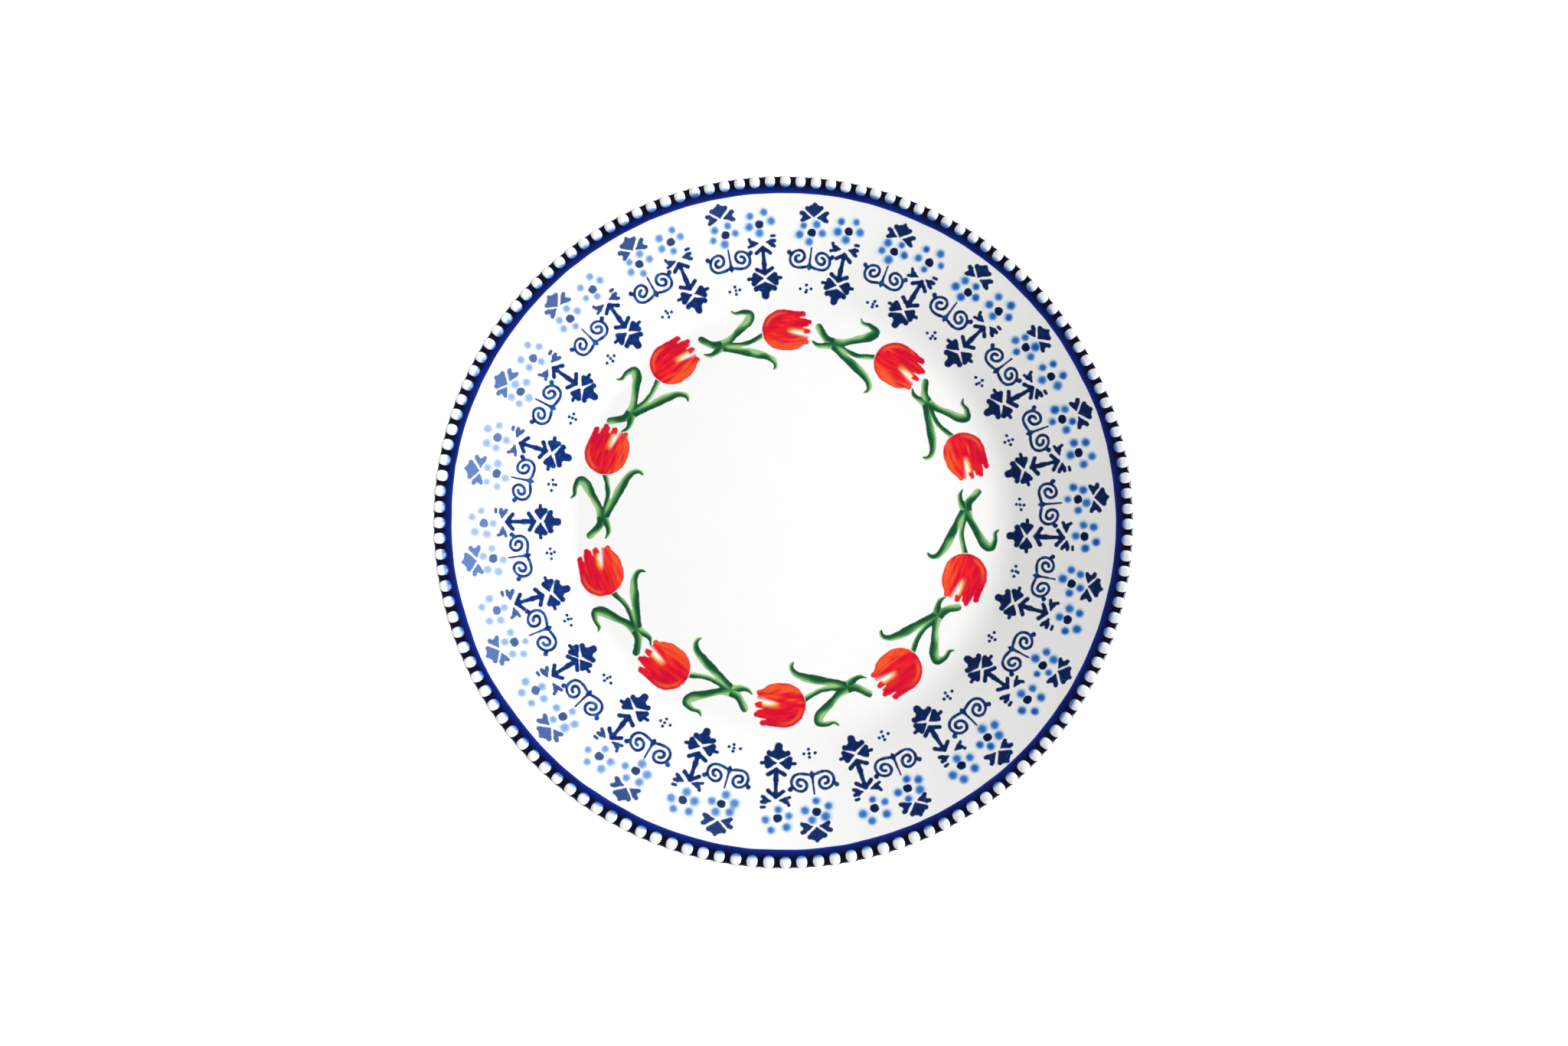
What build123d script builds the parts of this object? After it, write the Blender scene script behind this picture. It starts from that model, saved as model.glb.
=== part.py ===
from build123d import *
import math
import os

# Hand painted ceramic plate with a pearled edge, standing on its foot ring. Millimetres, +Z up.
# The origin is the centre of the foot ring, on the surface that the plate stands on.

# ---- Driving dimensions: the thrown plate ----
plate_diameter = 270.0
rim_height = 26.0  # table to the upper corner of the lip, in clay
flange_width = 47.0  # plan distance from the edge in to where floor and flange would meet
wall_thickness = 4.6
cove_radius = 30.0  # bend between floor and flange, on the eating face
lip_rounding = 0.6
foot_height = 2.6  # clearance under the floor, inside the foot ring
foot_width = 5.0  # bare face of the ring
foot_inset = 11.0  # from the floor's edge in to the outside of the ring's bare face
foot_flare = 1.8  # how much wider each side of the ring is at its root
foot_rounding = 0.6

# ---- Driving dimensions: glaze, colour and pearls ----
glaze_thickness = 0.35
paint_thickness = 0.15
glaze_stop = 0.8  # bare clay left above the table on the foot ring
band_width = 7.0  # cobalt band, from the edge in
band_wrap = 3.9  # how far the band goes down the outside of the lip
pearl_pitch = 6.24
pearl_radius = 2.3
pearl_sink = 0.8  # depth of a pearl's middle under the painted face
pearl_inset = 2.8  # from the edge in to a pearl's middle

# ---- Driving dimensions: where the painted pattern stands, from the band's inner edge in ----
trefoil_inset = 6.6  # meeting point of a trefoil's leaves
first_eye_inset = 10.4  # eye of the dot flower over an arrow
second_eye_inset = 12.5  # eye of the dot flower under a trefoil
heart_inset = 17.0
scroll_inset = 25.3
cross_inset = 30.5
diamond_inset = 33.4
tulip_inset = 51.5

# ---- Driving dimensions: spacing round the plate, counter-clockwise ----
pattern_pitch = 29.2  # one repeat, along the circle of the cross flowers
tulip_pitch = 48.1  # from one tulip to the next, along their circle
pattern_turn = 6.3  # degrees, +Y to the first cross flower
tulip_turn = 35.0  # degrees, +Y to the first tulip
side_share = 0.437  # share of a repeat, from a cross flower round to the scrolls and trefoil
first_eye_share = 0.0245  # and round to the dot flower over the arrow
line_width = 0.6  # drawn with the tip of the brush
scroll_radii = (3.4, 2.3, 1.3)  # the three half turns of a scroll, from outside in

# ---- Sizes that follow ----
plate_radius = plate_diameter / 2
coat_thickness = glaze_thickness + paint_thickness
lip_radius = plate_radius - coat_thickness
floor_radius = plate_radius - flange_width
floor_height = foot_height + wall_thickness
slope = math.atan2(rim_height - floor_height, lip_radius - floor_radius)
lip_edge = wall_thickness / math.cos(slope)
foot_outer_radius = floor_radius - foot_inset
foot_inner_radius = foot_outer_radius - foot_width
foot_middle_radius = foot_inner_radius + foot_width / 2
band_inner_radius = plate_radius - band_width
cross_radius = band_inner_radius - cross_inset
tulip_radius = band_inner_radius - tulip_inset
cove_end_radius = floor_radius + cove_radius * math.tan(slope / 2) * math.cos(slope)
pearl_count = round(2 * math.pi * plate_radius / pearl_pitch)
pattern_count = round(2 * math.pi * cross_radius / pattern_pitch)
tulip_count = round(2 * math.pi * tulip_radius / tulip_pitch)

os.makedirs("parts", exist_ok=True)


def face_points(lift):
    """Corners of the eating face's section, lifted along the face's own normal."""
    return [
        (0, floor_height + lift),
        (floor_radius - lift * math.tan(slope / 2), floor_height + lift),
        (lip_radius - lift * math.sin(slope), rim_height + lift * math.cos(slope)),
    ]


def flange_plane(radius, turn, lift):
    """Plane on the flange at a plan radius: +Y runs up the slope to the edge."""
    height = rim_height + (radius - lip_radius) * math.tan(slope) + lift / math.cos(slope)
    return Plane(
        origin=(-radius * math.sin(turn), radius * math.cos(turn), height),
        x_dir=(math.cos(turn), math.sin(turn), 0),
        z_dir=(math.sin(slope) * math.sin(turn), -math.sin(slope) * math.cos(turn), math.cos(slope)),
    )


def hollow_depth(radius, half_width):
    """How far the flange's hollow face falls away under a flat mark that wide."""
    return (radius - math.sqrt(radius**2 - half_width**2)) * math.sin(slope)


def brush_stroke(start, end, start_radius, end_radius):
    """A tapered stroke: the hull of the brush's round mark at its two ends."""
    pressed = Edge.make_circle(start_radius, Plane(origin=(*start, 0)))
    lifted = Edge.make_circle(end_radius, Plane(origin=(*end, 0)))
    make_hull([pressed, lifted])


def brush_path(*marks):
    """A run of strokes through (x, y, radius) marks."""
    for here, there in zip(marks, marks[1:]):
        brush_stroke(here[:2], there[:2], here[2], there[2])


def petal(*corners):
    """The filled body of a leaf or petal, between its strokes."""
    Polygon(*corners, align=None)


def flat_film(mark, radius, turn):
    """A centred mark as a flat film that rests on the flange by its two sides."""
    size = mark.bounding_box().size
    inner_radius = radius - size.Y / 2 * math.cos(slope)
    lift = glaze_thickness + hollow_depth(inner_radius, size.X / 2)
    with BuildPart() as film:
        with BuildSketch(flange_plane(radius, turn, lift)):
            add(mark)
        extrude(amount=paint_thickness)
    return film.part


def fitted_film(mark, radius, turn):
    """A centred mark cut out of the paint coat, so that it follows floor, cove and flange."""
    spot = (-radius * math.sin(turn), radius * math.cos(turn), floor_height)
    with BuildPart() as film:
        with BuildSketch(Plane(origin=spot, x_dir=(math.cos(turn), math.sin(turn), 0))):
            add(mark)
        extrude(amount=rim_height)
        add(paint_coat.part, mode=Mode.INTERSECT)
    return film.part


def pattern_films(drawing, inset, share=0.0):
    """Each separate mark of a flat drawing as a film of its own.

    The drawing's origin stands at this inset, a share of a repeat round from a cross flower.
    """
    films = []
    for mark in drawing.faces():
        box = mark.bounding_box()
        middle = box.center()
        radius = band_inner_radius - inset + middle.Y * math.cos(slope)
        turn = 2 * math.pi * share / pattern_count - middle.X / radius
        centred = mark.moved(Location((-middle.X, -middle.Y)))
        on_flange = radius - box.size.Y / 2 * math.cos(slope) > cove_end_radius
        films.append((flat_film if on_flange else fitted_film)(centred, radius, turn))
    return films


# ---- Clay body: floor, cove, flange, lip and foot ring, turned in one piece ----
underside_corner_radius = floor_radius + wall_thickness * math.tan(slope / 2)
with BuildPart() as clay_body:
    with BuildSketch(Plane.XZ) as clay_section:
        with BuildLine():
            FilletPolyline(
                (0, foot_height),
                (foot_inner_radius - foot_flare, foot_height),
                (foot_inner_radius, 0),
                (foot_outer_radius, 0),
                (foot_outer_radius + foot_flare, foot_height),
                (underside_corner_radius, foot_height),
                (lip_radius, rim_height - lip_edge),
                (lip_radius, rim_height),
                (floor_radius, floor_height),
                (0, floor_height),
                radius=[
                    foot_rounding,
                    foot_rounding,
                    foot_rounding,
                    foot_rounding,
                    cove_radius + wall_thickness,
                    lip_rounding,
                    lip_rounding,
                    cove_radius,
                ],
            )
            Line((0, floor_height), (0, foot_height))
        make_face()
    revolve(axis=Axis.Z)
clay_body.part.label = "clay_body"
export_step(clay_body.part, "parts/clay_body.step")

# ---- Sections of the coats, taken off the clay's own section ----
clay_outline = Plane.XZ.to_local_coords(clay_section.sketch)
with BuildSketch() as glaze_section:
    add(clay_outline)
    offset(amount=glaze_thickness, mode=Mode.REPLACE)
    add(clay_outline, mode=Mode.SUBTRACT)
with BuildSketch() as glazed_outline:
    add(clay_outline)
    offset(amount=glaze_thickness, mode=Mode.REPLACE)
with BuildSketch() as paint_section:
    add(clay_outline)
    offset(amount=coat_thickness, mode=Mode.REPLACE)
    add(glazed_outline.sketch, mode=Mode.SUBTRACT)

# ---- Glaze: one dip over the face, the lip and the back, and one pour inside the foot ring ----
wall_middle_height = foot_height + wall_thickness / 2
beyond_radius = plate_radius + coat_thickness
beyond_height = rim_height + wall_thickness
with BuildPart() as glaze_coat:
    with BuildSketch(Plane.XZ):
        add(glaze_section.sketch)
        Polygon(
            (0, wall_middle_height),
            (foot_middle_radius, wall_middle_height),
            (foot_middle_radius, glaze_stop),
            (beyond_radius, glaze_stop),
            (beyond_radius, beyond_height),
            (0, beyond_height),
            mode=Mode.INTERSECT,
        )
    revolve(axis=Axis.Z)
glaze_coat.part.label = "glaze_coat"
export_step(glaze_coat.part, "parts/glaze_coat.step")

with BuildPart() as foot_well_glaze:
    with BuildSketch(Plane.XZ):
        add(glaze_section.sketch)
        Polygon(
            (0, glaze_stop),
            (foot_middle_radius, glaze_stop),
            (foot_middle_radius, wall_middle_height),
            (0, wall_middle_height),
            mode=Mode.INTERSECT,
        )
    revolve(axis=Axis.Z)
foot_well_glaze.part.label = "foot_well_glaze"
export_step(foot_well_glaze.part, "parts/foot_well_glaze.step")

# ---- Cobalt band: brushed round the edge of the face and over the lip ----
with BuildPart() as cobalt_band:
    with BuildSketch(Plane.XZ):
        add(paint_section.sketch)
        Polygon(
            (band_inner_radius, rim_height - band_wrap),
            (beyond_radius, rim_height - band_wrap),
            (beyond_radius, beyond_height),
            (band_inner_radius, beyond_height),
            mode=Mode.INTERSECT,
        )
    revolve(axis=Axis.Z)
cobalt_band.part.label = "cobalt_band"
export_step(cobalt_band.part, "parts/cobalt_band.step")

# ---- Pearls: round knobs of slip that sit on the band ----
pearl_seat_radius = math.sqrt(pearl_radius**2 - pearl_sink**2)
pearl_spot = plate_radius - pearl_inset
pearl_lift = coat_thickness + hollow_depth(pearl_spot - pearl_seat_radius, pearl_seat_radius)
pearl_plane = flange_plane(pearl_spot, 0, pearl_lift)
with BuildPart() as first_pearl:
    with Locations(pearl_plane.offset(-pearl_sink)):
        Sphere(pearl_radius)
    split(bisect_by=pearl_plane, keep=Keep.TOP)

with BuildPart() as rim_pearls:
    with PolarLocations(0, pearl_count):
        add(first_pearl.part)
rim_pearls.part.label = "rim_pearls"
export_step(rim_pearls.part, "parts/rim_pearls.step")

# ---- Paint coat: what marks that cross the cove are cut from ----
glaze_face = face_points(glaze_thickness)
paint_face = face_points(coat_thickness)
with BuildPart() as paint_coat:
    with BuildSketch(Plane.XZ):
        with BuildLine():
            FilletPolyline(*glaze_face, radius=cove_radius - glaze_thickness)
            Line(glaze_face[-1], paint_face[-1])
            FilletPolyline(*paint_face, radius=cove_radius - coat_thickness)
            Line(paint_face[0], glaze_face[0])
        make_face()
    revolve(axis=Axis.Z)

# ---- Trefoils: three notched leaves under the band ----
with BuildSketch() as trefoil:
    petal((0.0, 0.2), (2.8, 3.7), (0.1, 4.4), (-2.9, 3.3))
    brush_path((0.0, 0.2, 0.25), (2.8, 3.7, 0.75))
    brush_path((0.0, 0.2, 0.25), (-2.9, 3.3, 0.8))
    brush_path((0.0, 1.6, 0.9), (0.1, 5.0, 0.65))
    petal((1.8, -0.3), (5.4, 1.8), (4.9, 0.4), (5.2, -1.2))
    brush_path((1.8, -0.3, 0.2), (5.3, 1.8, 0.7))
    brush_path((1.8, -0.3, 0.2), (5.2, -1.2, 0.7))
    petal((-1.6, -0.3), (-5.2, 1.4), (-4.6, 0.1), (-4.7, -1.5))
    brush_path((-1.6, -0.3, 0.2), (-5.2, 1.4, 0.7))
    brush_path((-1.6, -0.3, 0.2), (-4.6, -1.3, 0.7))
trefoil_films = pattern_films(trefoil.sketch, trefoil_inset, side_share)

with BuildPart() as trefoils:
    with PolarLocations(0, pattern_count, start_angle=pattern_turn):
        add(trefoil_films)
trefoils.part.label = "trefoils"
export_step(trefoils.part, "parts/trefoils.step")

# ---- Dot flowers: a dark eye and five sponged dots, twice in each repeat ----
first_dots = [(2.5, 4.7), (-3.4, 3.7), (4.9, 1.0), (-4.2, -0.6), (0.0, -3.2)]
second_dots = [(1.7, 3.4), (-3.6, 2.6), (4.2, 0.0), (-4.9, -1.2), (-0.8, -3.7)]
eye_radius = 1.6
dot_radius = 1.2
with BuildSketch() as eye:
    Circle(eye_radius)
with BuildSketch() as first_petals:
    with Locations(*first_dots):
        Circle(dot_radius)
with BuildSketch() as second_petals:
    with Locations(*second_dots):
        Circle(dot_radius)
eye_films = pattern_films(eye.sketch, first_eye_inset, first_eye_share)
eye_films += pattern_films(eye.sketch, second_eye_inset, side_share)
petal_films = pattern_films(first_petals.sketch, first_eye_inset, first_eye_share)
petal_films += pattern_films(second_petals.sketch, second_eye_inset, side_share)

with BuildPart() as dot_flower_eyes:
    with PolarLocations(0, pattern_count, start_angle=pattern_turn):
        add(eye_films)
dot_flower_eyes.part.label = "dot_flower_eyes"
export_step(dot_flower_eyes.part, "parts/dot_flower_eyes.step")

with BuildPart() as dot_flower_petals:
    with PolarLocations(0, pattern_count, start_angle=pattern_turn):
        add(petal_films)
dot_flower_petals.part.label = "dot_flower_petals"
export_step(dot_flower_petals.part, "parts/dot_flower_petals.step")

# ---- Hearts: a notched heart, a forked one and a dash over the arrow's point ----
with BuildSketch() as heart_marks:
    petal((1.7, 0.4), (4.8, 0.9), (4.2, -0.1), (4.7, -1.2))
    brush_path((1.7, 0.4, 0.2), (4.9, 0.9, 0.6))
    brush_path((1.7, 0.4, 0.2), (4.7, -1.2, 0.6))
    brush_path((5.0, 2.9, 0.45), (3.8, 2.8, 0.4))
    petal((-2.0, 0.1), (-4.9, 0.6), (-4.6, -0.3), (-5.2, -1.2))
    brush_path((-2.0, 0.1, 0.2), (-4.7, 0.5, 0.5), (-5.4, 1.9, 0.45))
    brush_path((-2.0, 0.1, 0.2), (-5.6, -1.1, 0.5))
heart_films = pattern_films(heart_marks.sketch, heart_inset)

with BuildPart() as hearts:
    with PolarLocations(0, pattern_count, start_angle=pattern_turn):
        add(heart_films)
hearts.part.label = "hearts"
export_step(hearts.part, "parts/hearts.step")

# ---- Arrows: a swelling stem with a chevron at each end, out of each cross flower ----
with BuildSketch() as arrow_mark:
    brush_path((0.0, 13.1, 0.7), (2.9, 10.8, 0.75))
    brush_path((0.0, 13.1, 0.7), (-2.9, 11.0, 0.7))
    brush_path((0.0, 13.0, 0.8), (0.0, 9.6, 0.65), (0.0, 6.4, 0.95), (0.0, 2.4, 0.8))
    brush_path((0.0, 2.4, 0.8), (3.2, 4.5, 0.75))
    brush_path((0.0, 2.4, 0.8), (-3.3, 4.4, 0.75))
arrow_films = pattern_films(arrow_mark.sketch, cross_inset)

with BuildPart() as arrows:
    with PolarLocations(0, pattern_count, start_angle=pattern_turn):
        add(arrow_films)
arrows.part.label = "arrows"
export_step(arrows.part, "parts/arrows.step")

# ---- Cross flowers: three lobed petals that close the cross under the arrow ----
with BuildSketch() as cross_petals:
    petal((1.0, 0.0), (3.7, 1.4), (6.0, 0.3), (4.1, -1.6))
    brush_path((1.0, 0.0, 0.2), (3.7, 1.4, 0.85))
    brush_path((1.0, 0.0, 0.2), (6.0, 0.3, 0.6))
    brush_path((1.0, 0.0, 0.2), (4.1, -1.6, 0.9))
    petal((-1.1, 0.0), (-3.9, 1.4), (-6.2, 0.0), (-4.3, -1.7))
    brush_path((-1.1, 0.0, 0.2), (-3.9, 1.4, 0.8))
    brush_path((-1.1, 0.0, 0.2), (-6.2, 0.0, 0.6))
    brush_path((-1.1, 0.0, 0.2), (-4.3, -1.7, 0.9))
    petal((0.0, -1.8), (3.6, -3.8), (1.5, -5.2), (-1.5, -5.2), (-3.6, -4.0))
    brush_path((0.0, -1.8, 0.3), (3.6, -3.8, 0.9))
    brush_path((0.0, -1.8, 0.3), (-3.6, -4.0, 0.9))
    brush_path((0.0, -3.5, 1.6), (0.0, -6.7, 1.25))
cross_films = pattern_films(cross_petals.sketch, cross_inset)

with BuildPart() as cross_flowers:
    with PolarLocations(0, pattern_count, start_angle=pattern_turn):
        add(cross_films)
cross_flowers.part.label = "cross_flowers"
export_step(cross_flowers.part, "parts/cross_flowers.step")

# ---- Scrolls: two spiral lines of half turns about a pointed drop with a long stem ----
scroll_foot = (4.7, -0.7)  # lowest point of a scroll, where its first half turn starts
scroll_lead_radius = 10.0
scroll_lead_angle = 20.0
scroll_gap = 0.15  # left between a scroll and the drop
with BuildSketch() as scroll_marks:
    for side in (1, -1):
        with BuildLine() as spiral:
            spot = Vector(side * scroll_foot[0], scroll_foot[1])
            JernArc(spot, (-side, 0), scroll_lead_radius, -side * scroll_lead_angle)
            heading = side
            for radius in scroll_radii:
                half_turn = JernArc(spot, (heading, 0), radius, side * 180)
                spot = half_turn @ 1
                heading = -heading
        trace(line_width=line_width)
        brush_path((side * 8.0, 4.4, 0.4), (side * 8.8, 5.1, 0.7))
with BuildSketch() as drop_mark:
    brush_path((0.0, -1.2, 0.3), (0.0, 0.0, 1.0), (0.0, 2.0, 0.4), (0.0, 7.8, 0.25))
with BuildSketch() as drop_clearance:
    offset(drop_mark.sketch, amount=scroll_gap)
with BuildSketch() as scroll_pair:
    add(scroll_marks.sketch)
    add(drop_clearance.sketch, mode=Mode.SUBTRACT)
scroll_films = pattern_films(scroll_pair.sketch, scroll_inset, side_share)
scroll_films += pattern_films(drop_mark.sketch, scroll_inset, side_share)

with BuildPart() as scrolls:
    with PolarLocations(0, pattern_count, start_angle=pattern_turn):
        add(scroll_films)
scrolls.part.label = "scrolls"
export_step(scrolls.part, "parts/scrolls.step")

# ---- Dot diamonds: five small dots under each pair of scrolls ----
small_dot_radius = 0.42
with BuildSketch() as diamond:
    with Locations((0.0, 1.5), (1.8, 0.0), (0.0, 0.0), (-2.4, -0.1), (-0.1, -1.4)):
        Circle(small_dot_radius)
diamond_films = pattern_films(diamond.sketch, diamond_inset, side_share)

with BuildPart() as dot_diamonds:
    with PolarLocations(0, pattern_count, start_angle=pattern_turn):
        add(diamond_films)
dot_diamonds.part.label = "dot_diamonds"
export_step(dot_diamonds.part, "parts/dot_diamonds.step")

# ---- Tulips: lying round the floor, heads pointing clockwise, leaf tips up to the cove ----
with BuildSketch() as tulip_outline:
    brush_path((-1.2, 0.0, 8.2), (1.5, 0.0, 7.9))
    brush_path((1.0, 5.0, 3.4), (6.3, 7.2, 0.9))
    brush_path((1.0, 3.0, 3.4), (8.6, 4.2, 0.8))
    brush_path((1.0, 0.0, 3.4), (9.2, 0.4, 0.7))
    brush_path((1.0, -4.0, 3.4), (8.7, -4.4, 0.6))


def garland_path(*marks):
    """A run of strokes through (along the ring, out from it, radius) marks."""
    placed = []
    for along, out, radius in marks:
        turn = along / tulip_radius
        across = -(tulip_radius + out) * math.sin(turn)
        up = (tulip_radius + out) * math.cos(turn) - tulip_radius
        placed.append((across, up, radius))
    brush_path(*placed)


knot = (26.7, -2.9, 1.4)
with BuildSketch() as greenery_outline:
    garland_path((9.2, -1.7, 0.9), (16.3, -4.3, 0.8), (23.3, -3.7, 0.8), knot)
    garland_path(knot, (18.3, 1.0, 1.0), (13.6, 4.4, 1.4), (13.8, 6.9, 1.0), (17.4, 7.7, 0.6))
    garland_path((17.4, 7.7, 0.6), (19.9, 9.5, 0.3))
    garland_path(knot, (22.0, -6.1, 1.0), (14.2, -9.4, 1.2), (6.2, -12.2, 0.9), (3.8, -14.4, 0.4))
    garland_path(knot, (30.2, -1.5, 0.9), (33.8, 2.6, 0.9))
    garland_path(knot, (32.0, -4.5, 0.8), (35.2, -3.8, 0.3))
    add(tulip_outline.sketch, mode=Mode.SUBTRACT)

tulip_plane = Plane(origin=(0, tulip_radius, floor_height))
with BuildPart() as tulip_film:
    with BuildSketch(tulip_plane):
        add(tulip_outline.sketch)
    extrude(amount=rim_height)
    add(paint_coat.part, mode=Mode.INTERSECT)
with BuildPart() as greenery_film:
    with BuildSketch(tulip_plane):
        add(greenery_outline.sketch)
    extrude(amount=rim_height)
    add(paint_coat.part, mode=Mode.INTERSECT)

with BuildPart() as tulip_heads:
    with PolarLocations(0, tulip_count, start_angle=tulip_turn):
        add(tulip_film.part)
tulip_heads.part.label = "tulip_heads"
export_step(tulip_heads.part, "parts/tulip_heads.step")

with BuildPart() as tulip_greenery:
    with PolarLocations(0, tulip_count, start_angle=tulip_turn):
        add(greenery_film.part)
tulip_greenery.part.label = "tulip_greenery"
export_step(tulip_greenery.part, "parts/tulip_greenery.step")
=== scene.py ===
import math

import bpy
import numpy as np
from mathutils import Matrix, Vector


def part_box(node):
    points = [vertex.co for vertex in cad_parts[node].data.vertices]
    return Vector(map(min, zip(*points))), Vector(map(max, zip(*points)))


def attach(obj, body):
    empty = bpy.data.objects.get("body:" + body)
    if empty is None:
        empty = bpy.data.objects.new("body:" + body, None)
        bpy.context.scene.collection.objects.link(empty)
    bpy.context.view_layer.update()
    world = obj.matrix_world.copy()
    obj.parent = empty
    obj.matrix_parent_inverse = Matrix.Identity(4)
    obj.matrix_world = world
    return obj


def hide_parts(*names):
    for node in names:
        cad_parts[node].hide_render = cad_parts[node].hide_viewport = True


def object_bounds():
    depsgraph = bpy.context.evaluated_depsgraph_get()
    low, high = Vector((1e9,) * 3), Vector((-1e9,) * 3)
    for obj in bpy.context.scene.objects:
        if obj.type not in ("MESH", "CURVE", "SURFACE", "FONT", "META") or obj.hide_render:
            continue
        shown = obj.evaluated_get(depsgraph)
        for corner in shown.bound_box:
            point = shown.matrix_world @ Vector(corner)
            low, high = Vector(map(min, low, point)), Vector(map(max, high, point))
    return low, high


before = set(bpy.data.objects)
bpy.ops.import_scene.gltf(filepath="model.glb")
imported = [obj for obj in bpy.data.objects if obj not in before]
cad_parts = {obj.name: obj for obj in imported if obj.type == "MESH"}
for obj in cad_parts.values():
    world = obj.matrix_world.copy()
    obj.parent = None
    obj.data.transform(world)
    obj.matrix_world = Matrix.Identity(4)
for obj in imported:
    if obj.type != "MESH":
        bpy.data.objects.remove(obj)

# ------------------------------------------------------------------ sizes
# Drawings are in millimetres, and MM turns them into the frame's metres.
MM = 0.001
low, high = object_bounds()
clay_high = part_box("clay_body")[1]
glaze_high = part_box("glaze_coat")[1]
well_low, well_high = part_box("foot_well_glaze")
band_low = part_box("cobalt_band")[0]
head_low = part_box("tulip_heads")[0]

R = high.x / MM
LIP_R = clay_high.x / MM
GLAZE = glaze_high.x / MM - LIP_R
BAND_WRAP = 3.9  # how far the band goes down the outside of the lip
BAND_FOOT = band_low.z / MM
RIM = BAND_FOOT + BAND_WRAP
FOOT_H = well_high.z / MM
STOP = well_low.z / MM
FLOOR = head_low.z / MM - GLAZE
WALL = FLOOR - FOOT_H
FLANGE, COVE, LIP_ROUND, BAND = 47.0, 30.0, 0.6, 7.0
FOOT_INSET, FOOT_W, FLARE, FOOT_ROUND = 11.0, 5.0, 1.8, 0.6
FLOOR_R = R - FLANGE
BAND_R = R - BAND
SLOPE = math.atan2(RIM - FLOOR, LIP_R - FLOOR_R)
COS, SIN = math.cos(SLOPE), math.sin(SLOPE)
FOOT_OUT = FLOOR_R - FOOT_INSET
FOOT_IN = FOOT_OUT - FOOT_W
PEARLS = 136
BAND_FILM = 0.05  # thickness of the band's paint on the glaze
REPEATS, PATTERN_TURN, SIDE_SHARE, EYE_SHARE = 21, 6.3, 0.437, 0.0245
TULIPS, TULIP_TURN = 10, 35.0

# How far in from the band's inner edge the origin of each drawing lies, seen from above.
TREFOIL_IN, FIRST_EYE_IN, SECOND_EYE_IN, HEART_IN = 6.6, 10.4, 12.5, 17.0
SCROLL_IN, CROSS_IN, DIAMOND_IN, TULIP_IN = 25.3, 30.5, 33.4, 51.5
TULIP_R = BAND_R - TULIP_IN

# The hand strays from an even spacing in slow waves, each as (size, waves per turn, phase in degrees).
# TURN strays are in degrees round the plate, and OUT strays in millimetres outwards over the surface. They follow
# the photo's spacing roughly.
STRAY_TURN = ((1.3, 1, 170), (1.3, 2, -105))
STRAY_OUT = ((0.55, 1, 115), (0.85, 4, -90))
TULIP_STRAY_TURN = ((0.5, 1, 90), (0.9, 4, 55))
TULIP_STRAY_OUT = ((0.65, 1, 60), (0.6, 4, 0))


def stray(waves, share):
    """How far the hand is off an even spacing, at a share of the way round."""
    total = 0
    for size, count, phase in waves:
        total += size * math.cos(2 * math.pi * count * share + math.radians(phase))
    return total


# ------------------------------------------------------------------ section of the plate
def rounded(points, radii, step):
    """A section line with rounded corners, sampled about every step."""
    out = [np.array(points[0], float)]
    for i in range(1, len(points) - 1):
        a, b, c = (np.array(points[j], float) for j in (i - 1, i, i + 1))
        u, v = (a - b) / np.linalg.norm(a - b), (c - b) / np.linalg.norm(c - b)
        half = math.acos(max(-1.0, min(1.0, float(u @ v)))) / 2
        radius = max(radii[i - 1], 0.02)
        reach = radius / math.tan(half)
        middle = b + (u + v) / np.linalg.norm(u + v) * radius / math.sin(half)
        start, end = b + u * reach - middle, b + v * reach - middle
        turn = math.pi - 2 * half
        n = max(4, int(turn * radius / min(step, 0.35)) + 2)
        side = np.sign(start[0] * end[1] - start[1] * end[0])
        for k in range(n + 1):
            t = side * turn * k / n
            out.append(middle + [start[0] * math.cos(t) - start[1] * math.sin(t),
                                 start[0] * math.sin(t) + start[1] * math.cos(t)])
    out.append(np.array(points[-1], float))
    filled = [out[0]]
    for a, b in zip(out, out[1:]):
        n = max(1, int(np.linalg.norm(b - a) / step + 0.5))
        filled += [a + (b - a) * (k + 1) / n for k in range(n)]
    line = np.array(filled)
    keep = np.r_[True, np.linalg.norm(np.diff(line, axis=0), axis=1) > 1e-5]
    return line[keep]


def clay_corners():
    edge = WALL / COS
    corner = FLOOR_R + WALL * math.tan(SLOPE / 2)
    """The clay's section with sharp corners, from under the middle to the floor, and their roundings."""
    points = [(0, FOOT_H), (FOOT_IN - FLARE, FOOT_H), (FOOT_IN, 0), (FOOT_OUT, 0), (FOOT_OUT + FLARE, FOOT_H),
              (corner, FOOT_H), (LIP_R, RIM - edge), (LIP_R, RIM), (FLOOR_R, FLOOR), (0, FLOOR)]
    return points, [FOOT_ROUND] * 4 + [COVE + WALL, LIP_ROUND, LIP_ROUND, COVE]


def coated(lift, step):
    """The clay's section line moved out by lift, from under the middle to the middle of the floor."""
    points, radii = clay_corners()
    p = np.array(points, float)
    d = np.diff(p, axis=0)
    d /= np.linalg.norm(d, axis=1)[:, None]
    n = np.c_[d[:, 1], -d[:, 0]]
    moved = [p[0] + n[0] * lift]
    sizes = []
    for i in range(1, len(p) - 1):
        m = n[i - 1] + n[i]
        moved.append(p[i] + m * lift * 2 / (m @ m))
        convex = d[i - 1][0] * d[i][1] - d[i - 1][1] * d[i][0] > 0
        sizes.append(radii[i - 1] + (lift if convex else -lift))
    moved.append(p[-1] + n[-1] * lift)
    return rounded(moved, sizes, step)


FACE = coated(GLAZE, 0.25)
FACE = FACE[int(np.argmax(FACE[:, 1])):][::-1]


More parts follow.
